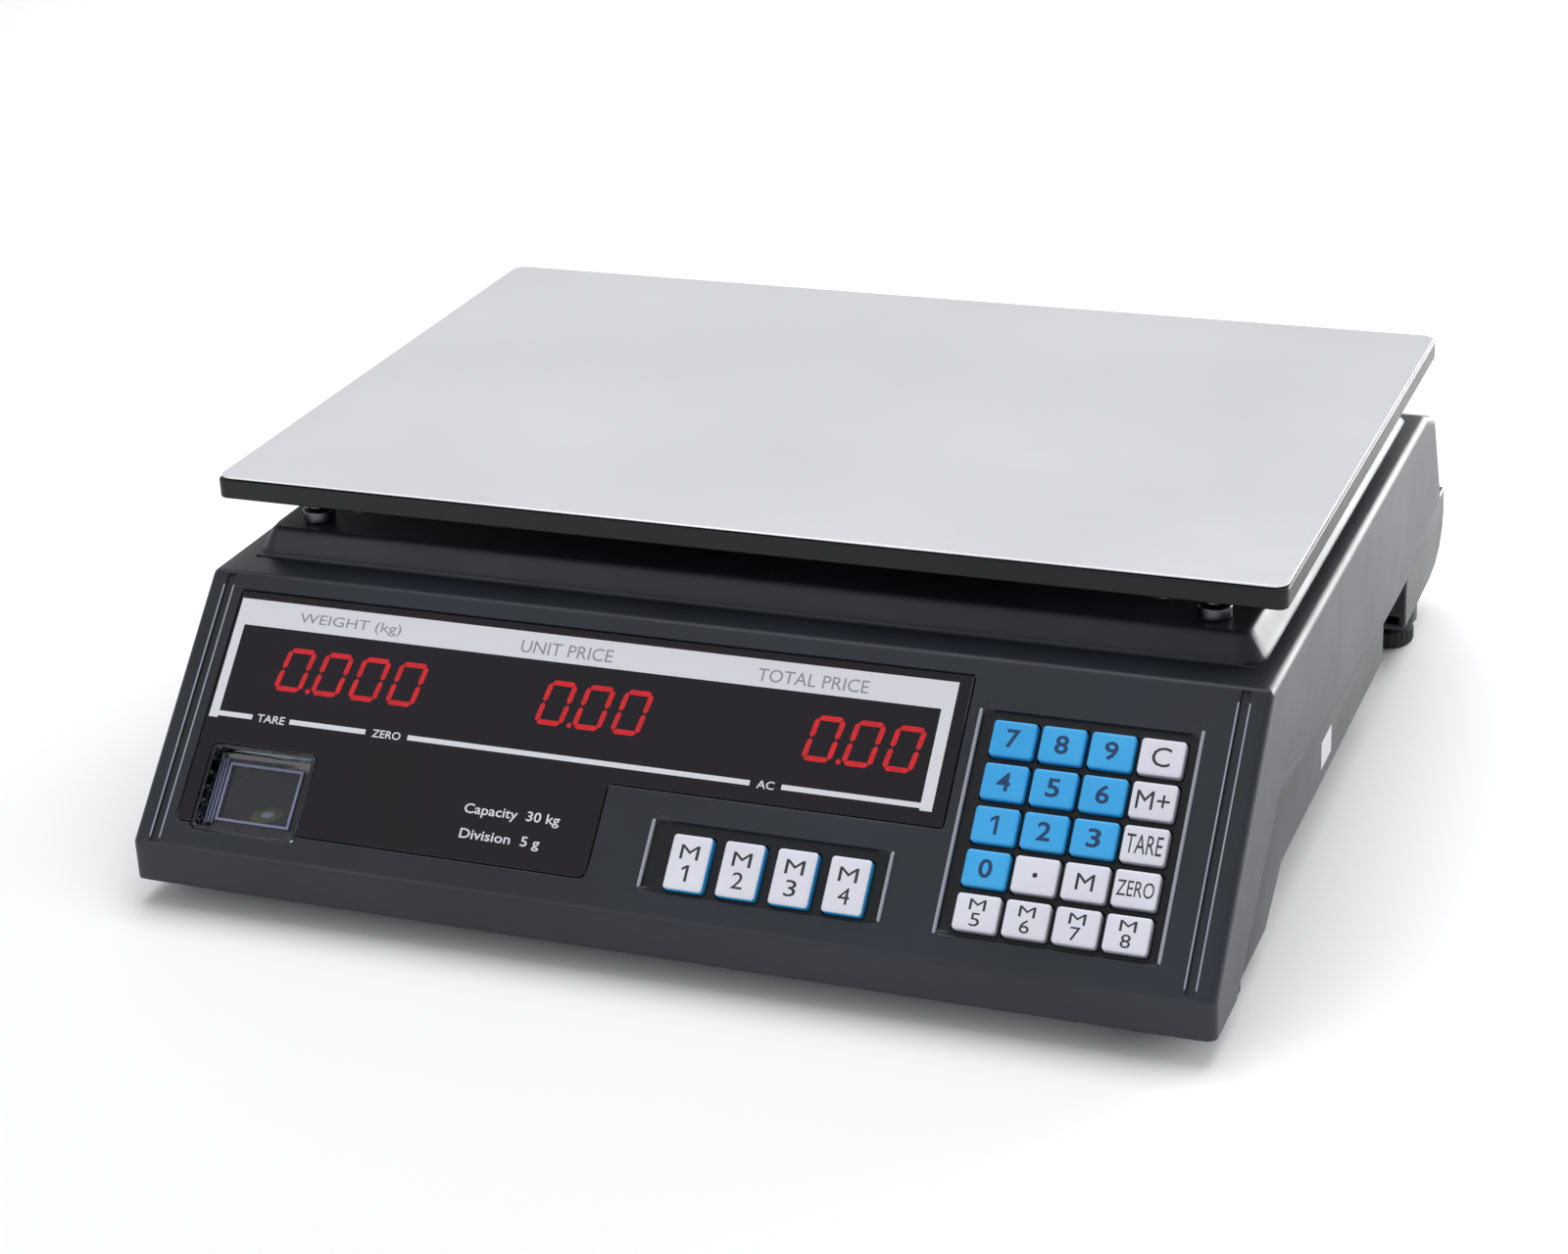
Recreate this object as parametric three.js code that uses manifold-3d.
// Price-computing counter scale, 30 kg class.
// Millimetres, +Z up, +X to the operator's right, +Y towards the customer.
// The origin is on the counter, under the middle of the object.
import * as THREE from 'three';
import { mergeVertices } from 'three/addons/utils/BufferGeometryUtils.js';
import Module from 'manifold-3d';

const wasm = await Module();
wasm.setup();

// ---- driving dimensions ----

// Housing
const BODY_W = 338;
const BODY_D = 336;
const WALL = 2.6;
const FLOOR = 2.5;
const GAP = 0.4;
const SIDE_ROUND = 3;
const LIP_BOTTOM = 8;
const LIP_TOP = 20.6;
const HEAD_Z = 85;
const PANEL_ANGLE = THREE.MathUtils.degToRad(45.3);
const DECK_RISE = 8;
const DECK_SLOPE = 4.5;
const HEAD_GROOVE = 2;
const REAR_STEP = 14;
const REAR_SLOPE_RUN = 15;
const REAR_SLOPE_BOTTOM = 49;
const REAR_SLOPE_TOP = 79.5;
const TONGUE = 4;

// Weighing pan and what carries it
const PAN_W = 340;
const PAN_D = 222;
const PAN_TOP = 112;
const PAN_SHEET = 0.6;
const PAN_CORNER = 3;
const TRAY_H = 6.3;
const TRAY_PLATE = 2.2;
const TRAY_RIM = 2.4;
const SEAT = 0.3;
const PAD_R = 6;
const PAD_INSET_X = 40;
const PAD_INSET_Y = 28;
const ARM_W = 18;
const ARM_T = 4.5;
const STOP_INSET_X = 25;
const STOP_INSET_Y = 18.6;
const STOP_R = 3;
const STOP_CLEARANCE = 0.8;
const CELL_L = 130;
const CELL_W = 30;
const CELL_H = 26;
const CELL_RISER = 24;
const CELL_PLATE_T = 4;

// Operator panel, measured up the slope from its lower edge
const KEY_W = 12.9;
const KEY_H = 10.7;
const KEY_GAP_X = 1.5;
const KEY_GAP_S = 2.2;
const KEYPAD_MARGIN_X = 21;
const KEYPAD_S0 = 9.7;
const MEMORY_W = 12.2;
const MEMORY_H = 16.7;
const MEMORY_GAP = 3.97;
const MEMORY_S0 = 9.15;
const KEY_PROUD = 1.6;
const KEY_TRAVEL = 1.0;
const KEY_CLEARANCE = 0.3;
const KEY_FLANGE = 0.45;
const FIELD_DEPTH = 0.8;
const WINDOW_T = 1.0;
const WINDOW_S0 = 9;
const WINDOW_STEP_S = 38.4;
const WINDOW_S1 = 84.5;
const LEVEL_W = 35.5;
const LEVEL_S0 = 7;
const LEVEL_S1 = 34.5;
const LEVEL_DEPTH = 5;
const VIAL_R = 8;
const VIAL_H = 7;

// Underside
const FOOT_R = 10;
const FOOT_H = 6;
const STUD_R = 3;
const STUD_TOP = 22;
const BELLY_Z = 20.3;
const REAR_Z = 15.5;
const BATTERY_L = 101;
const BATTERY_D = 70;
const BATTERY_H = 47;
const SWITCH_TILT = THREE.MathUtils.degToRad(8);

// ---- places worked out from them ----

const FRONT_Y = -BODY_D / 2;
const REAR_Y = BODY_D / 2;
const COVER_REAR = REAR_Y - REAR_STEP;
const SIDE_X = BODY_W / 2;
const HEAD_Y = FRONT_Y + (HEAD_Z - LIP_TOP) / Math.tan(PANEL_ANGLE);
const PANEL_LENGTH = (HEAD_Z - LIP_TOP) / Math.sin(PANEL_ANGLE);
const DECK_FRONT = HEAD_Y + 14;
const DECK_REAR = COVER_REAR - 33;
const DECK_Z = HEAD_Z + DECK_RISE;
const DECK_X = SIDE_X - 7;
const PAN_Y = (DECK_FRONT + DECK_REAR) / 2 + 1;
const CARRIED_W = Math.min(PAN_W, BODY_W + 2);
const TRAY_TOP = PAN_TOP - PAN_SHEET - SEAT;
const TRAY_BOTTOM = TRAY_TOP - TRAY_H;
const PLATE_BOTTOM = TRAY_TOP - TRAY_PLATE;
const SPIDER_Z = DECK_Z + 3.5;
const PAD_X = CARRIED_W / 2 - PAD_INSET_X;
const PAD_Y = PAN_D / 2 - PAD_INSET_Y;
const STOP_X = CARRIED_W / 2 - STOP_INSET_X;
const STOP_Y = PAN_D / 2 - STOP_INSET_Y;
const CELL_Z = BELLY_Z + FLOOR + GAP + CELL_PLATE_T + CELL_RISER;
const CELL_END = 32;
const KEY_PITCH_X = KEY_W + KEY_GAP_X;
const KEY_PITCH_S = KEY_H + KEY_GAP_S;
const KEYPAD_X = SIDE_X - KEYPAD_MARGIN_X - 1.5 * KEY_PITCH_X - KEY_W / 2;
const KEYPAD_S = KEYPAD_S0 + 2 * KEY_PITCH_S + KEY_H / 2;
const KEYPAD_LEFT = KEYPAD_X - 1.5 * KEY_PITCH_X - KEY_W / 2 - 4;
const MEMORY_PITCH = MEMORY_W + MEMORY_GAP;
const MEMORY_X = KEYPAD_LEFT - 22.4 - 1.5 * MEMORY_PITCH - MEMORY_W / 2;
const MEMORY_S = MEMORY_S0 + MEMORY_H / 2;
const WINDOW_X0 = -SIDE_X + 13;
const WINDOW_X1 = KEYPAD_LEFT - 4.9;
const WINDOW_STEP_X = MEMORY_X - 1.5 * MEMORY_PITCH - MEMORY_W / 2 - 24.8;
const LEVEL_X = -SIDE_X + 36;
const WINDOW_SEAT = WINDOW_T + 0.5;
const CELL_PLATE_D = CELL_W + 4;
const BATTERY_X0 = -SIDE_X + 19;
const BATTERY_Y0 = PAN_Y - CELL_PLATE_D / 2 - 1.4 - BATTERY_D;
const BELLY_FRONT = BATTERY_Y0 - 13;
const BELLY_REAR = REAR_Y - 78;
const FOOT_X = SIDE_X - 13;
const FOOT_FRONT_Y = FRONT_Y + 40;
const FOOT_REAR_Y = REAR_Y - 42;
const INLET_Y = REAR_Y - 88.3;
const SWITCH_X = SIDE_X - 49;
const SWITCH_Y = BELLY_FRONT + 31;

// ---- materials ----

function paint(color, roughness, metalness = 0) {
  return new THREE.MeshStandardMaterial({ color, roughness, metalness });
}

const charcoal = paint('#3a3d42', 0.55);
const underside = paint('#34373b', 0.6);
const black = paint('#1b1d1f', 0.5);
const steel = paint('#d3d3d8', 0.28, 1);
const zinc = paint('#b9bcc0', 0.4, 1);
const aluminium = paint('#c4c6c9', 0.38, 1);
const glassBlack = paint('#241f2a', 0.12);
const clear = paint('#b9c2d6', 0.08);
const keyBlue = paint('#3faeea', 0.45);
const keyWhite = paint('#dcdde6', 0.45);
const rubber = paint('#202122', 0.85);
const board = paint('#1f5a3a', 0.5);
const silicone = paint('#c9cbd0', 0.7);
const windings = paint('#b5793a', 0.5);

// ---- solids ----

function solid(geometry) {
  const bare = geometry.clone();
  bare.deleteAttribute('normal');
  bare.deleteAttribute('uv');
  const merged = mergeVertices(bare, 1e-4);
  return new wasm.Manifold(new wasm.Mesh({
    numProp: 3,
    vertProperties: new Float32Array(merged.attributes.position.array),
    triVerts: new Uint32Array(merged.index.array),
  }));
}

function geometryOf(manifold) {
  const mesh = manifold.getMesh();
  const geometry = new THREE.BufferGeometry();
  geometry.setAttribute('position', new THREE.BufferAttribute(mesh.vertProperties, 3));
  geometry.setIndex(new THREE.BufferAttribute(mesh.triVerts, 1));
  geometry.computeVertexNormals();
  return geometry;
}

function box(x0, x1, y0, y1, z0, z1) {
  const geometry = new THREE.BoxGeometry(x1 - x0, y1 - y0, z1 - z0);
  geometry.translate((x0 + x1) / 2, (y0 + y1) / 2, (z0 + z1) / 2);
  return geometry;
}

function centredBox(x, y, width, depth, z0, z1) {
  return box(x - width / 2, x + width / 2, y - depth / 2, y + depth / 2, z0, z1);
}

function post(x, y, radius, z0, z1, sides = 16) {
  const geometry = new THREE.CylinderGeometry(radius, radius, z1 - z0, sides);
  geometry.rotateX(Math.PI / 2);
  geometry.translate(x, y, (z0 + z1) / 2);
  return geometry;
}

function turned(profile, sides) {
  const geometry = new THREE.LatheGeometry(profile.map(([r, z]) => new THREE.Vector2(r, z)), sides);
  geometry.rotateX(Math.PI / 2);
  return geometry;
}

function roundRect(x0, y0, x1, y1, radius) {
  const shape = new THREE.Shape();
  shape.moveTo(x0 + radius, y0);
  shape.lineTo(x1 - radius, y0);
  shape.absarc(x1 - radius, y0 + radius, radius, -Math.PI / 2, 0);
  shape.lineTo(x1, y1 - radius);
  shape.absarc(x1 - radius, y1 - radius, radius, 0, Math.PI / 2);
  shape.lineTo(x0 + radius, y1);
  shape.absarc(x0 + radius, y1 - radius, radius, Math.PI / 2, Math.PI);
  shape.lineTo(x0, y0 + radius);
  shape.absarc(x0 + radius, y0 + radius, radius, Math.PI, 1.5 * Math.PI);
  return shape;
}

function slab(shape, z0, z1, curveSegments = 3) {
  const geometry = new THREE.ExtrudeGeometry(shape, {
    depth: z1 - z0, bevelEnabled: false, curveSegments,
  });
  geometry.translate(0, 0, z0);
  return geometry;
}

// A slab whose top and bottom edges are chamfered inwards.
function chamferedSlab(shape, z0, z1, across, down, curveSegments = 3) {
  const geometry = new THREE.ExtrudeGeometry(shape, {
    depth: z1 - z0 - 2 * down,
    bevelEnabled: true,
    bevelSegments: 1,
    bevelSize: across,
    bevelOffset: -across,
    bevelThickness: down,
    curveSegments,
  });
  geometry.translate(0, 0, z0 + down);
  return geometry;
}

// A side view, given as (y, z) points, carried from -halfWidth to +halfWidth across the object.
const ACROSS = new THREE.Matrix4().makeBasis(
  new THREE.Vector3(0, 1, 0), new THREE.Vector3(0, 0, 1), new THREE.Vector3(1, 0, 0));

function sideView(points, halfWidth, round = 0) {
  const shape = new THREE.Shape(points.map(([y, z]) => new THREE.Vector2(y, z)));
  const geometry = new THREE.ExtrudeGeometry(shape, {
    depth: 2 * (halfWidth - round),
    bevelEnabled: round > 0,
    bevelSegments: 3,
    bevelSize: round,
    bevelOffset: -round,
    bevelThickness: round,
  });
  geometry.translate(0, 0, -(halfWidth - round));
  geometry.applyMatrix4(ACROSS);
  return geometry;
}

// Moves every edge of a counter-clockwise outline inwards by the same distance.
function inset(points, distance) {
  const normals = points.map(([y, z], i) => {
    const [y2, z2] = points[(i + 1) % points.length];
    const length = Math.hypot(y2 - y, z2 - z);
    return [-(z2 - z) / length, (y2 - y) / length];
  });
  return points.map(([y, z], i) => {
    const [ay, az] = normals[(i + points.length - 1) % points.length];
    const [by, bz] = normals[i];
    const reach = distance / (1 + ay * by + az * bz);
    return [y + (ay + by) * reach, z + (az + bz) * reach];
  });
}

// ---- frames of the two sloping faces: x across, y up the slope, z out of the face ----

const onPanel = new THREE.Matrix4()
  .makeRotationX(PANEL_ANGLE)
  .setPosition(0, FRONT_Y, LIP_TOP);

const rearSlope = Math.hypot(REAR_SLOPE_RUN, REAR_SLOPE_TOP - REAR_SLOPE_BOTTOM);
const rearUp = new THREE.Vector3(
  0, -REAR_SLOPE_RUN / rearSlope, (REAR_SLOPE_TOP - REAR_SLOPE_BOTTOM) / rearSlope);
const onRear = new THREE.Matrix4()
  .makeBasis(new THREE.Vector3(-1, 0, 0), rearUp, new THREE.Vector3(0, rearUp.z, -rearUp.y))
  .setPosition(0, COVER_REAR - 1, REAR_SLOPE_BOTTOM);

function placed(geometry, matrix) {
  return geometry.clone().applyMatrix4(matrix);
}

// ---- assembly ----

const scale = new THREE.Group();
const panel = new THREE.Group();
panel.applyMatrix4(onPanel);
scale.add(panel);

function add(name, shape, material, parent = scale) {
  const geometry = shape instanceof THREE.BufferGeometry ? shape : geometryOf(shape);
  const mesh = new THREE.Mesh(geometry, material);
  mesh.name = name;
  parent.add(mesh);
  return mesh;
}

// The seam between the two shells, seen from the side: up behind the panel, over a knee, then a
// long shallow sweep to the rear, with a step over the recess for the mains inlet.
const seam = new THREE.Path();
seam.moveTo(FRONT_Y + 24, LIP_BOTTOM);
seam.lineTo(FRONT_Y + 32, 15.6);
seam.lineTo(FRONT_Y + 70, 46);
seam.quadraticCurveTo(FRONT_Y + 77, 55, FRONT_Y + 90, 50.5);
seam.lineTo(FRONT_Y + 112, 45);
seam.quadraticCurveTo(FRONT_Y + 180, 37.8, REAR_Y - 82, 36.7);
seam.lineTo(REAR_Y - 78, 36.7);
seam.bezierCurveTo(REAR_Y - 72, 36.7, REAR_Y - 70, 41.4, REAR_Y - 62, 41.6);
seam.lineTo(REAR_Y - 20, 42.8);
seam.lineTo(REAR_Y, 42.8);
const seamPoints = seam.getPoints(4).map((p) => [p.x, p.y]);

// Everything under the seam, moved by (dy, dz).
function underSeam(dy, dz) {
  const line = seamPoints.map(([y, z]) => [y + dy, z + dz]);
  const [frontY] = line[0];
  const rearZ = line[line.length - 1][1];
  const outline = [[frontY, -40], [REAR_Y + 30, -40], [REAR_Y + 30, rearZ], ...line.reverse()];
  return solid(sideView(outline, SIDE_X + 20));
}

// ---- keys: where they are, and what they are called ----

function keyGrid() {
  const rows = [
    ['7', '8', '9', 'c'],
    ['4', '5', '6', 'm_plus'],
    ['1', '2', '3', 'tare'],
    ['0', 'point', 'm', 'zero'],
    ['m5', 'm6', 'm7', 'm8'],
  ];
  const keys = [];
  rows.forEach((row, r) => row.forEach((label, c) => keys.push({
    name: `key_${label}`,
    x: KEYPAD_X + (c - 1.5) * KEY_PITCH_X,
    s: KEYPAD_S - (r - 2) * KEY_PITCH_S,
    width: KEY_W,
    height: KEY_H,
    material: /^\d$/.test(label) ? keyBlue : keyWhite,
  })));
  for (let i = 0; i < 4; i += 1) {
    keys.push({
      name: `key_m${i + 1}`,
      x: MEMORY_X + (i - 1.5) * MEMORY_PITCH,
      s: MEMORY_S,
      width: MEMORY_W,
      height: MEMORY_H,
      material: keyWhite,
    });
  }
  return keys;
}

const keys = keyGrid();
const keypadField = {
  x0: KEYPAD_LEFT,
  x1: KEYPAD_X + 1.5 * KEY_PITCH_X + KEY_W / 2 + 3.4,
  s0: KEYPAD_S - 2 * KEY_PITCH_S - KEY_H / 2 - 1.8,
  s1: KEYPAD_S + 2 * KEY_PITCH_S + KEY_H / 2 + 3,
};
const memoryField = {
  x0: MEMORY_X - 1.5 * MEMORY_PITCH - MEMORY_W / 2 - 7.6,
  x1: MEMORY_X + 1.5 * MEMORY_PITCH + MEMORY_W / 2 + 4.8,
  s0: MEMORY_S - MEMORY_H / 2 - 1.2,
  s1: MEMORY_S + MEMORY_H / 2 + 3.6,
};

// ---- upper shell ----

function windowOutline(margin) {
  const x0 = WINDOW_X0 - margin;
  const x1 = WINDOW_X1 + margin;
  const s0 = WINDOW_S0 - margin;
  const s1 = WINDOW_S1 + margin;
  const stepX = WINDOW_STEP_X + margin;
  const stepS = WINDOW_STEP_S - margin;
  const shape = new THREE.Shape();
  shape.moveTo(x0, s0);
  shape.lineTo(stepX - 3, s0);
  shape.absarc(stepX - 3, s0 + 3, 3, -Math.PI / 2, 0);
  shape.lineTo(stepX, stepS - 2);
  shape.absarc(stepX + 2, stepS - 2, 2, Math.PI, Math.PI / 2, true);
  shape.lineTo(x1, stepS);
  shape.lineTo(x1, s1);
  shape.lineTo(x0, s1);
  return shape;
}

const levelPocket = {
  x0: LEVEL_X - LEVEL_W / 2, x1: LEVEL_X + LEVEL_W / 2, s0: LEVEL_S0, s1: LEVEL_S1,
};

function fieldSlab(field, margin, n0, n1, radius) {
  const shape = roundRect(
    field.x0 - margin, field.s0 - margin, field.x1 + margin, field.s1 + margin, radius);
  return solid(placed(slab(shape, n0, n1), onPanel));
}

const displayOpening = {
  x0: WINDOW_X0 + 6, x1: WINDOW_X1 - 10, s0: WINDOW_STEP_S + 8.5, s1: WINDOW_S1 - 11.5,
};
const rearWindow = { x: SIDE_X - 59, s0: 5, s1: 29.5 };

const coverProfile = [
  [FRONT_Y, LIP_BOTTOM],
  [COVER_REAR, LIP_BOTTOM],
  [COVER_REAR, REAR_SLOPE_BOTTOM - 2],
  [COVER_REAR - 1, REAR_SLOPE_BOTTOM],
  [COVER_REAR - 1 - REAR_SLOPE_RUN, REAR_SLOPE_TOP],
  [DECK_REAR + 1, HEAD_Z],
  [HEAD_Y, HEAD_Z],
  [FRONT_Y, LIP_TOP],
];

// Carries the lower edge of a side view down, so that a cut leaves the bottom open.
function openBelow(points) {
  const lowest = Math.min(...points.map(([, z]) => z));
  return points.map(([y, z]) => [y, z < lowest + 1 ? 0 : z]);
}

const stops = [];
const pads = [];
for (const [side, end, label] of [
  [-1, -1, 'front_left'], [1, -1, 'front_right'], [-1, 1, 'rear_left'], [1, 1, 'rear_right'],
]) {
  stops.push({ label, x: side * STOP_X, y: PAN_Y + end * STOP_Y });
  pads.push({ label, x: side * PAD_X, y: PAN_Y + end * PAD_Y });
}

const spiderFoot = { x: CELL_L / 2 - CELL_END / 2, width: CELL_END - 2, depth: CELL_W };

function topCover() {
  const deck = roundRect(-DECK_X, DECK_FRONT, DECK_X, DECK_REAR, 8);
  const deckHollow = roundRect(
    -DECK_X + WALL, DECK_FRONT + WALL, DECK_X - WALL, DECK_REAR - WALL, 6);
  let cover = solid(sideView(coverProfile, SIDE_X, SIDE_ROUND));
  cover = cover.add(solid(chamferedSlab(
    deck, HEAD_Z - DECK_RISE, DECK_Z, DECK_SLOPE, DECK_RISE)));
  cover = cover.subtract(solid(sideView(openBelow(inset(coverProfile, WALL)), SIDE_X - WALL)));
  cover = cover.subtract(solid(chamferedSlab(
    deckHollow, HEAD_Z - DECK_RISE - WALL, DECK_Z - WALL, DECK_SLOPE, DECK_RISE)));
  cover = cover.subtract(underSeam(0, 0));
  // Narrow groove between the head and the deck, and one down each side of the panel
  cover = cover.subtract(solid(box(
    -DECK_X + 2, DECK_X - 2, DECK_FRONT - HEAD_GROOVE, DECK_FRONT, HEAD_Z - 1.6, HEAD_Z + 1)));
  for (const side of [-1, 1]) {
    const x = side * (SIDE_X - 7.6);
    cover = cover.subtract(solid(placed(
      centredBox(x, PANEL_LENGTH / 2, 2.4, PANEL_LENGTH + 20, -0.7, 3), onPanel)));
  }
  // Bosses that take the overload stops
  for (const { x, y } of stops) {
    cover = cover.add(solid(post(x, y, STOP_R + 3, DECK_Z - 13, DECK_Z - 1)));
    cover = cover.subtract(solid(post(x, y, STOP_R + KEY_CLEARANCE, DECK_Z - 20, DECK_Z + 5)));
  }
  // Opening for the spider's foot
  cover = cover.subtract(solid(centredBox(
    spiderFoot.x, PAN_Y, spiderFoot.width + 8, spiderFoot.depth + 8, DECK_Z - 5, DECK_Z + 5)));
  // Operator panel: window seat, display opening, key fields and key holes
  cover = cover.subtract(solid(placed(slab(windowOutline(0.3), -WINDOW_SEAT, 5), onPanel)));
  cover = cover.subtract(fieldSlab(displayOpening, 0, -8, 5, 2));
  cover = cover.subtract(fieldSlab(levelPocket, 0.3, -8, 5, 2));
  cover = cover.subtract(fieldSlab(keypadField, 0, -FIELD_DEPTH, 5, 2));
  cover = cover.subtract(fieldSlab(memoryField, 0, -FIELD_DEPTH, 5, 2));
  for (const key of keys) {
    const hole = roundRect(
      key.x - key.width / 2 - KEY_CLEARANCE, key.s - key.height / 2 - KEY_CLEARANCE,
      key.x + key.width / 2 + KEY_CLEARANCE, key.s + key.height / 2 + KEY_CLEARANCE, 1.2);
    cover = cover.subtract(solid(placed(slab(hole, -8, 5, 1), onPanel)));
  }
  // Customer side: window seat and display opening
  const seat = roundRect(
    -rearWindow.x - 0.3, rearWindow.s0 - 0.3, rearWindow.x + 0.3, rearWindow.s1 + 0.3, 2.3);
  const opening = roundRect(
    -rearWindow.x + 5, rearWindow.s0 + 5, rearWindow.x - 5, rearWindow.s1 - 5, 2);
  cover = cover.subtract(solid(placed(slab(seat, -WINDOW_SEAT, 5), onRear)));
  cover = cover.subtract(solid(placed(slab(opening, -8, 5), onRear)));
  return cover;
}

// ---- lower shell ----

const INNER_X = SIDE_X - WALL - GAP;
const inletWell = {
  x0: SIDE_X - 21, y0: INLET_Y - 21.3, y1: INLET_Y + 21.3, z0: BELLY_Z, z1: BELLY_Z + 16.4,
};
const inletBody = { width: 24, z0: BELLY_Z + 3.1, z1: BELLY_Z + 12.1 };
const mainBoard = {
  x0: LEVEL_X + 43, x1: SIDE_X - 109, y0: FRONT_Y + 21, y1: BELLY_FRONT - 22, z: LIP_BOTTOM + 8,
};
const vial = { x: LEVEL_X, y: FRONT_Y + 21, z0: LIP_BOTTOM + 9 };
const batteryDoor = {
  x0: BATTERY_X0 - 5,
  x1: BATTERY_X0 + BATTERY_L + 5,
  y0: BATTERY_Y0 - 4,
  y1: BATTERY_Y0 + BATTERY_D + 6,
  z0: BELLY_Z - 2.5,
  z1: BELLY_Z - 0.4,
};

function feet() {
  return [
    { label: 'front_left', x: -FOOT_X, y: FOOT_FRONT_Y },
    { label: 'front_right', x: FOOT_X, y: FOOT_FRONT_Y },
    { label: 'rear_left', x: -FOOT_X, y: FOOT_REAR_Y },
    { label: 'rear_right', x: FOOT_X, y: FOOT_REAR_Y },
  ];
}

function baseTray() {
  const front = FRONT_Y + WALL + GAP;
  const profile = [
    [front, LIP_BOTTOM],
    [BELLY_FRONT - 20, LIP_BOTTOM],
    [BELLY_FRONT, BELLY_Z],
    [BELLY_REAR, BELLY_Z],
    [BELLY_REAR + 3, REAR_Z],
    [REAR_Y - 24, REAR_Z],
    [REAR_Y - 14, REAR_Z + 1.5],
    [REAR_Y - 6, REAR_Z + 5.5],
    [REAR_Y - 1.5, REAR_Z + 11.5],
    [REAR_Y, REAR_Z + 17.5],
    [REAR_Y - 3, HEAD_Z],
    [front, HEAD_Z],
  ];
  const within = solid(sideView(openBelow(inset(coverProfile, WALL + GAP)), SIDE_X));
  const hollowY = solid(box(
    -SIDE_X, SIDE_X, FRONT_Y, COVER_REAR - WALL - GAP - 2.2, 0, 2 * HEAD_Z));
  const floorUp = inset(profile, FLOOR);
  let tray = solid(sideView(profile, SIDE_X - 1, 2)).intersect(underSeam(GAP, -GAP));
  // The wall inside the upper shell's: behind the seam, and behind the lip across the front
  const behind = underSeam(-TONGUE - 1, TONGUE).add(solid(box(
    -SIDE_X, SIDE_X, FRONT_Y, FRONT_Y + 24, 0, LIP_BOTTOM + 7)));
  const tongue = solid(sideView(profile, INNER_X)).intersect(behind);
  tray = tray.add(tongue.intersect(within));
  tray = tray.subtract(solid(sideView(floorUp, INNER_X - FLOOR)).intersect(hollowY));
  const deep = solid(sideView(floorUp, SIDE_X - 1 - FLOOR));
  tray = tray.subtract(deep.intersect(underSeam(TONGUE, -TONGUE)));
  // Bosses for the feet; the rear ones also reach down to the level of the front floor
  for (const { x, y } of feet()) {
    tray = tray.add(solid(post(x, y, 6, LIP_BOTTOM + 1, STUD_TOP + 2)));
    if (y > 0) {
      tray = tray.add(solid(post(x, y, FOOT_R + 1, LIP_BOTTOM, REAR_Z + 1)));
    }
    tray = tray.subtract(solid(post(x, y, STUD_R + KEY_CLEARANCE, 0, STUD_TOP + 10)));
  }
  // Recess for the mains inlet, walled on the inside and open below
  const { x0, y0, y1, z0, z1 } = inletWell;
  tray = tray.add(solid(box(x0, INNER_X, y0, y1, z0, z1)));
  tray = tray.subtract(solid(box(x0 + 2, SIDE_X + 5, y0 + 2, y1 - 2, 0, z1 - 2.2)));
  tray = tray.subtract(solid(box(
    x0 - 5, x0 + 5, INLET_Y - inletBody.width / 2 - 0.3, INLET_Y + inletBody.width / 2 + 0.3,
    inletBody.z0 - 0.3, inletBody.z1 + 0.3)));
  // Battery opening with a guide rail along each side of its door
  tray = tray.subtract(solid(box(
    BATTERY_X0 - 1.5, BATTERY_X0 + BATTERY_L + 1.5, BATTERY_Y0 - 1.5,
    BATTERY_Y0 + BATTERY_D + 1.5, BELLY_Z - 5, BELLY_Z + 5)));
  for (const [edge, side] of [[batteryDoor.x0, -1], [batteryDoor.x1, 1]]) {
    const outer = edge + side * 3;
    const inner = edge + side * 0.4;
    const lip = edge - side * 1.6;
    const low = batteryDoor.z0 - 2;
    tray = tray.add(solid(box(
      Math.min(outer, inner), Math.max(outer, inner),
      batteryDoor.y0, batteryDoor.y1, low, BELLY_Z + 1)));
    tray = tray.add(solid(box(
      Math.min(outer, lip), Math.max(outer, lip),
      batteryDoor.y0, batteryDoor.y1, low, batteryDoor.z0 - GAP)));
  }
  // Hole for the power switch
  tray = tray.subtract(solid(centredBox(
    SWITCH_X, SWITCH_Y, 19.6, 13.6, BELLY_Z - 5, BELLY_Z + 5)));
  // Post under the level and posts under the main board
  tray = tray.add(solid(post(vial.x, vial.y, 5, LIP_BOTTOM + 1, vial.z0 - SEAT)));
  for (const x of [mainBoard.x0 + 6, mainBoard.x1 - 6]) {
    for (const y of [mainBoard.y0 + 6, mainBoard.y1 - 6]) {
      tray = tray.add(solid(post(x, y, 3, LIP_BOTTOM + 1, mainBoard.z - SEAT, 10)));
    }
  }
  return tray;
}

// ---- weighing system ----

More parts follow.
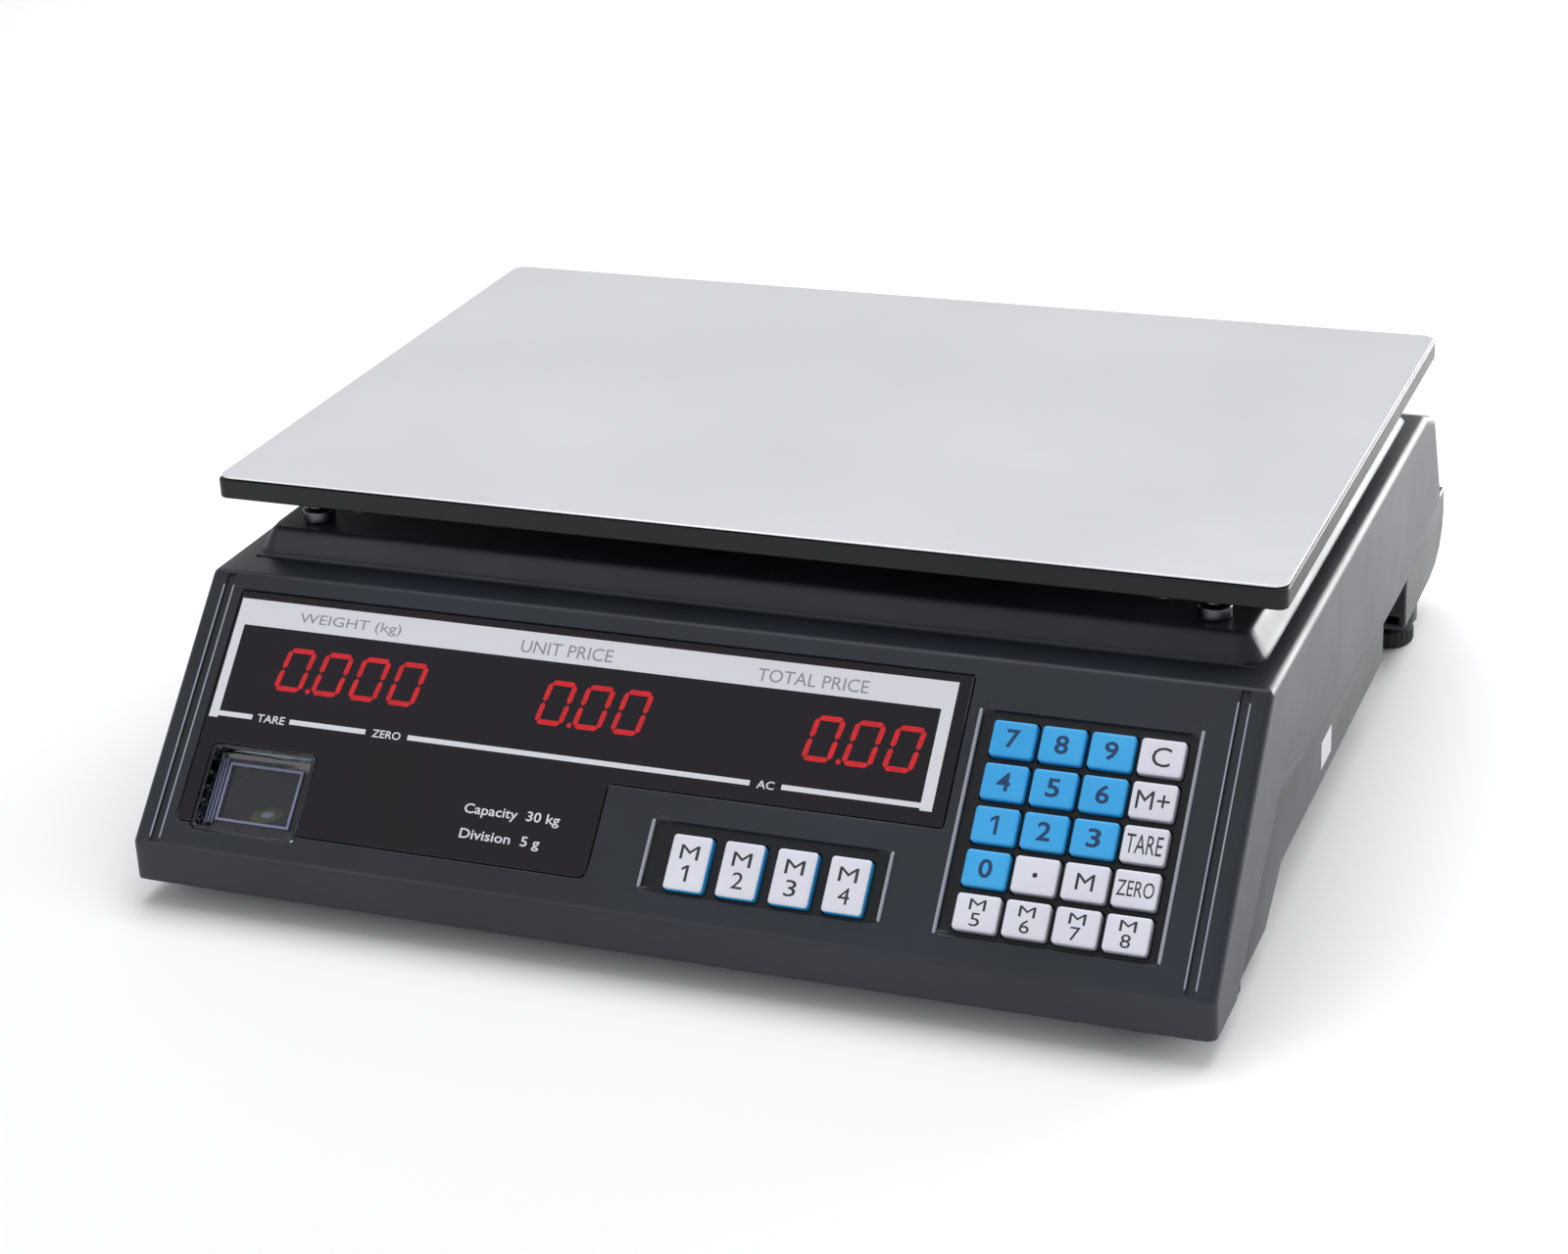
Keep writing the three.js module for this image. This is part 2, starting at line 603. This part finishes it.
function panTray() {
  const x = PAN_W / 2;
  const y0 = PAN_Y - PAN_D / 2;
  const y1 = PAN_Y + PAN_D / 2;
  let tray = solid(slab(roundRect(-x, y0, x, y1, PAN_CORNER), TRAY_BOTTOM, TRAY_TOP));
  tray = tray.subtract(solid(slab(
    roundRect(-x + TRAY_RIM, y0 + TRAY_RIM, x - TRAY_RIM, y1 - TRAY_RIM, 1.5),
    TRAY_BOTTOM - 5, PLATE_BOTTOM)));
  for (const side of [-1, 1]) {
    tray = tray.add(solid(centredBox(
      0, PAN_Y + side * 40, PAN_W - 2, 2, TRAY_BOTTOM, PLATE_BOTTOM + 1)));
    tray = tray.add(solid(centredBox(
      side * 60, PAN_Y, 2, PAN_D - 2, TRAY_BOTTOM, PLATE_BOTTOM + 1)));
  }
  for (const pad of pads) {
    tray = tray.add(solid(post(pad.x, pad.y, PAD_R + 3, TRAY_BOTTOM, PLATE_BOTTOM + 1)));
    tray = tray.subtract(solid(post(
      pad.x, pad.y, PAD_R + 0.5, TRAY_BOTTOM - 5, PLATE_BOTTOM)));
  }
  return tray;
}

function weighingPan() {
  const x = PAN_W / 2 - 0.4;
  const y = PAN_D / 2 - 0.4;
  return slab(
    roundRect(-x, PAN_Y - y, x, PAN_Y + y, PAN_CORNER), PAN_TOP - PAN_SHEET, PAN_TOP, 4);
}

function panSpider() {
  const top = SPIDER_Z + ARM_T;
  let spider = solid(centredBox(0, PAN_Y, 80, 60, SPIDER_Z, top));
  const reach = Math.hypot(PAD_X, PAD_Y);
  for (const side of [-1, 1]) {
    const arm = box(-reach, reach, -ARM_W / 2, ARM_W / 2, SPIDER_Z, top);
    arm.rotateZ(side * Math.atan2(PAD_Y, PAD_X));
    arm.translate(0, PAN_Y, 0);
    spider = spider.add(solid(arm));
  }
  for (const pad of pads) {
    spider = spider.add(solid(post(pad.x, pad.y, ARM_W / 2 + 2, SPIDER_Z, top, 20)));
    spider = spider.subtract(solid(post(pad.x, pad.y, 3.3, SPIDER_Z - 5, top + 5, 12)));
  }
  spider = spider.add(solid(centredBox(
    spiderFoot.x, PAN_Y, spiderFoot.width, spiderFoot.depth, CELL_Z + CELL_H + SEAT, top - 1)));
  return spider;
}

// Rubber buffer with a peg that goes down through the spider's arm.
function panPad() {
  const seat = SPIDER_Z + ARM_T + SEAT;
  return turned([
    [0, SPIDER_Z - 1], [2.8, SPIDER_Z - 1], [3, seat], [PAD_R, seat],
    [PAD_R, PLATE_BOTTOM - 1.3], [PAD_R - 1, PLATE_BOTTOM - SEAT], [0, PLATE_BOTTOM - SEAT],
  ], 12);
}

// Single-point beam: two round holes joined by a slot leave thin bending sections.
function loadCell() {
  const z = CELL_Z + CELL_H / 2;
  const y0 = PAN_Y - CELL_W / 2;
  const y1 = PAN_Y + CELL_W / 2;
  let beam = solid(box(-CELL_L / 2, CELL_L / 2, y0, y1, CELL_Z, CELL_Z + CELL_H));
  for (const side of [-1, 1]) {
    const bore = new THREE.CylinderGeometry(9, 9, CELL_W + 10, 20);
    bore.translate(side * 14, PAN_Y, z);
    beam = beam.subtract(solid(bore));
    for (const y of [PAN_Y - 8, PAN_Y + 8]) {
      beam = beam.subtract(solid(post(
        side * (CELL_L / 2 - CELL_END / 2), y, 3, CELL_Z - 5, CELL_Z + CELL_H + 5, 10)));
    }
  }
  return beam.subtract(solid(box(-14, 14, y0 - 5, y1 + 5, z - 3, z + 3)));
}

function loadCellBasePlate() {
  const z0 = BELLY_Z + FLOOR + GAP;
  const plate = solid(centredBox(0, PAN_Y, CELL_L + 30, CELL_PLATE_D, z0, z0 + CELL_PLATE_T));
  const riser = solid(centredBox(
    -spiderFoot.x, PAN_Y, CELL_END - 2, CELL_W, z0 + 1, CELL_Z - SEAT));
  return plate.add(riser);
}

// Screw standing on the deck, with its lock nut; the tray lands on it when overloaded.
function overloadStop() {
  const top = PLATE_BOTTOM - STOP_CLEARANCE;
  const nut = DECK_Z + SEAT;
  return turned([
    [0, DECK_Z - 12], [STOP_R, DECK_Z - 12], [STOP_R, nut], [STOP_R + 2.2, nut],
    [STOP_R + 2.2, nut + 3.6], [STOP_R, nut + 4.2], [STOP_R, top - 0.6], [STOP_R - 0.6, top],
    [0, top],
  ], 12);
}

add('top_cover', topCover(), charcoal);
add('base_tray', baseTray(), underside);
add('pan_tray', panTray(), black);
add('weighing_pan', weighingPan(), steel);
add('pan_spider', panSpider(), aluminium);
add('load_cell', loadCell(), aluminium);
add('load_cell_base_plate', loadCellBasePlate(), zinc);
for (const { label, x, y } of pads) {
  add(`pan_pad_${label}`, panPad(), rubber).position.set(x, y, 0);
}
for (const { label, x, y } of stops) {
  add(`overload_stop_${label}`, overloadStop(), zinc).position.set(x, y, 0);
}

// ---- operator panel ----

// Cap with chamfered edges, a flange that keeps it behind the panel, and a stem.
function keySolid(width, height) {
  const cap = roundRect(-width / 2, -height / 2, width / 2, height / 2, 1.2);
  const w = width / 2 + KEY_FLANGE;
  const h = height / 2 + KEY_FLANGE;
  const under = -WALL - SEAT;
  let key = solid(chamferedSlab(cap, under - 1, KEY_PROUD, 0.5, 0.5, 2));
  key = key.add(solid(box(-w, w, -h, h, under - 1, under)));
  return key.add(solid(post(0, 0, 2.5, under - 2.6, under - 0.5, 6)));
}

const keyShapes = {
  [KEY_H]: geometryOf(keySolid(KEY_W, KEY_H)),
  [MEMORY_H]: geometryOf(keySolid(MEMORY_W, MEMORY_H)),
};
for (const key of keys) {
  add(key.name, keyShapes[key.height], key.material, panel).position.set(key.x, key.s, 0);
}

// The outline shared by the dome sheet and the contact board: both key fields, joined below.
function keyOutline(margin) {
  const shape = new THREE.Shape();
  shape.moveTo(memoryField.x0 + margin, memoryField.s0 + margin);
  shape.lineTo(keypadField.x1 - margin, memoryField.s0 + margin);
  shape.lineTo(keypadField.x1 - margin, keypadField.s1 - margin);
  shape.lineTo(keypadField.x0 + margin, keypadField.s1 - margin);
  shape.lineTo(keypadField.x0 + margin, memoryField.s1 - margin);
  shape.lineTo(memoryField.x0 + margin, memoryField.s1 - margin);
  return shape;
}

const STEM_END = -WALL - SEAT - 2.6;
const DOME_TOP = STEM_END - KEY_TRAVEL - 0.3;
const MAT_TOP = DOME_TOP - 0.8;
const MAT_BOTTOM = MAT_TOP - 1;

let mat = solid(slab(keyOutline(1), MAT_BOTTOM, MAT_TOP));
for (const key of keys) {
  mat = mat.add(solid(post(key.x, key.s, 3.2, MAT_TOP - 0.5, DOME_TOP, 6)));
}
add('key_dome_mat', mat, silicone, panel);
add('keypad_board', slab(keyOutline(0), MAT_BOTTOM - SEAT - 1.6, MAT_BOTTOM - SEAT), board, panel);

let operatorWindow = solid(slab(windowOutline(0), -WINDOW_SEAT + 0.3, -WINDOW_SEAT + 0.3 + WINDOW_T));
operatorWindow = operatorWindow.subtract(solid(slab(roundRect(
  levelPocket.x0 - 0.3, levelPocket.s0 - 5, levelPocket.x1 + 0.3, levelPocket.s1 + 0.3, 2), -5, 5)));
add('front_display_window', operatorWindow, glassBlack, panel);

// Clear tray let into the panel; the level is read through its floor. One wall is ribbed.
function levelCover() {
  const { x0, x1, s0, s1 } = levelPocket;
  let cup = solid(slab(roundRect(x0, s0, x1, s1, 2), -LEVEL_DEPTH - 1.2, 0));
  cup = cup.subtract(solid(slab(
    roundRect(x0 + 1.2, s0 + 1.2, x1 - 1.2, s1 - 1.2, 1.2), -LEVEL_DEPTH, 5)));
  for (let i = 1; i <= 5; i += 1) {
    const s = s0 + (i * (s1 - s0)) / 6;
    cup = cup.add(solid(box(x0 + 0.6, x0 + 2, s - 0.5, s + 0.5, -LEVEL_DEPTH - 0.5, -0.6)));
  }
  return cup;
}
add('level_cover', levelCover(), clear, panel);
add('level_vial', post(vial.x, vial.y, VIAL_R, vial.z0, vial.z0 + VIAL_H, 24), clear);

// A display board with one block of digits for each value shown.
function displayBoard(x0, x1, s0, s1, back) {
  const face = -WALL - 0.8;
  let display = solid(box(x0 - 2, x1 + 2, s0 - 2, s1 + 2, back, back + 1.6));
  const bay = (x1 - x0 - 8) / 3;
  for (let i = 0; i < 3; i += 1) {
    const left = x0 + i * (bay + 4);
    display = display.add(solid(box(left, left + bay, s0 + 1, s1 - 1, back + 1, face)));
  }
  return display;
}
add('front_display_board', displayBoard(
  displayOpening.x0, displayOpening.x1, displayOpening.s0, displayOpening.s1, -13), board, panel);

// ---- customer side ----

const customer = new THREE.Group();
customer.applyMatrix4(onRear);
scale.add(customer);
add('rear_display_window', slab(
  roundRect(-rearWindow.x, rearWindow.s0, rearWindow.x, rearWindow.s1, 2),
  -WINDOW_SEAT + 0.3, -WINDOW_SEAT + 0.3 + WINDOW_T), glassBlack, customer);
add('rear_display_board', displayBoard(
  -rearWindow.x + 5, rearWindow.x - 5, rearWindow.s0 + 3, rearWindow.s1 - 3, -10),
board, customer);

// ---- inside and underneath ----

// Main board with its tall parts: two smoothing capacitors, a processor, a driver and plugs.
function mainBoardSolid() {
  const { x0, x1, y0, y1, z } = mainBoard;
  const top = z + 1.6;
  let pcb = solid(box(x0, x1, y0, y1, z, top));
  for (const x of [x0 + 20, x0 + 34]) {
    pcb = pcb.add(solid(post(x, y1 - 14, 5, top - 1, top + 14, 14)));
  }
  pcb = pcb.add(solid(centredBox((x0 + x1) / 2, (y0 + y1) / 2, 14, 14, top - 1, top + 1.6)));
  pcb = pcb.add(solid(centredBox(x1 - 40, (y0 + y1) / 2, 24, 8, top - 1, top + 3)));
  for (let i = 0; i < 3; i += 1) {
    pcb = pcb.add(solid(centredBox(x1 - 16 - i * 18, y1 - 5, 12, 6, top - 1, top + 7)));
  }
  return pcb;
}
add('main_board', mainBoardSolid(), board);

add('battery', solid(box(
  BATTERY_X0, BATTERY_X0 + BATTERY_L, BATTERY_Y0, BATTERY_Y0 + BATTERY_D, BELLY_Z,
  BELLY_Z + BATTERY_H)).add(solid(centredBox(
  BATTERY_X0 + 10, BATTERY_Y0 + BATTERY_D / 2, 6, 5, BELLY_Z + BATTERY_H - 1,
  BELLY_Z + BATTERY_H + 6))), black);

// Sliding battery door with a grooved finger grip.
let door = solid(box(
  batteryDoor.x0, batteryDoor.x1, batteryDoor.y0, batteryDoor.y1, batteryDoor.z0, batteryDoor.z1));
for (let i = 0; i < 4; i += 1) {
  door = door.subtract(solid(centredBox(
    (batteryDoor.x0 + batteryDoor.x1) / 2, batteryDoor.y0 + 8 + 4 * i, 30, 1.6,
    batteryDoor.z0 - 1, batteryDoor.z0 + 1)));
}
add('battery_door', door, underside);

// Mains transformer: laminated core around a wound bobbin, on its mounting frame.
function transformer() {
  const x = SIDE_X - 50;
  const y = REAR_Y - 54;
  const z = REAR_Z + FLOOR + GAP;
  const core = solid(centredBox(x, y, 42, 16, z, z + 35));
  const bobbin = solid(centredBox(x, y, 26, 34, z + 6, z + 29));
  return core.add(bobbin).add(solid(centredBox(x, y, 42, 36, z, z + 1.5)));
}
add('transformer', transformer(), windings);

// Two-pin mains inlet: the pins stand in the socket's floor.
function powerInlet() {
  const half = inletBody.width / 2;
  const { z0, z1 } = inletBody;
  const face = SIDE_X - 14;
  const middle = (z0 + z1) / 2;
  let inlet = solid(box(face - 25, face, INLET_Y - half, INLET_Y + half, z0, z1));
  inlet = inlet.subtract(solid(box(
    face - 11, face + 5, INLET_Y - 8.5, INLET_Y + 8.5, middle - 3.4, middle + 3.4)));
  for (const side of [-1, 1]) {
    const pin = new THREE.CylinderGeometry(1.15, 1.15, 10, 10);
    pin.rotateZ(Math.PI / 2);
    pin.translate(face - 7, INLET_Y + side * 4.3, middle);
    inlet = inlet.add(solid(pin));
  }
  return inlet;
}
add('power_inlet', powerInlet(), black);

// Rocker switch in the underside: bezel and body with a pocket, and the rocker in it.
const bezelZ = BELLY_Z - 2.3;
const switchBody = solid(centredBox(SWITCH_X, SWITCH_Y, 22, 16, bezelZ, BELLY_Z - 0.3))
  .add(solid(centredBox(SWITCH_X, SWITCH_Y, 19, 13, BELLY_Z - 1, BELLY_Z + 14)))
  .subtract(solid(centredBox(SWITCH_X, SWITCH_Y, 16, 10, bezelZ - 1, BELLY_Z + 9)));
add('switch_body', switchBody, black);

const rockerShape = new THREE.Shape();
rockerShape.moveTo(-6.9, -5.4);
rockerShape.lineTo(0, -3.4);
rockerShape.lineTo(6.9, -5.4);
rockerShape.lineTo(6.9, -2);
rockerShape.lineTo(2.5, 3);
rockerShape.lineTo(-2.5, 3);
rockerShape.lineTo(-6.9, -2);
const rocker = slab(rockerShape, -4.7, 4.7);
rocker.rotateX(Math.PI / 2);
const rockerMesh = add('switch_rocker', rocker, black);
rockerMesh.position.set(SWITCH_X, SWITCH_Y, BELLY_Z + 2.5);
rockerMesh.rotation.y = SWITCH_TILT;

// Rubber levelling foot moulded around its stud.
for (const { label, x, y } of feet()) {
  add(`foot_${label}`, turned([
    [0, 0], [FOOT_R - 1, 0], [FOOT_R, 1.2], [FOOT_R - 0.8, FOOT_H], [6, FOOT_H],
    [6, LIP_BOTTOM - 0.6], [STUD_R, LIP_BOTTOM - 0.6], [STUD_R, STUD_TOP - 0.8],
    [STUD_R - 0.8, STUD_TOP], [0, STUD_TOP],
  ], 16), rubber).position.set(x, y, 0);
}

export default scale;
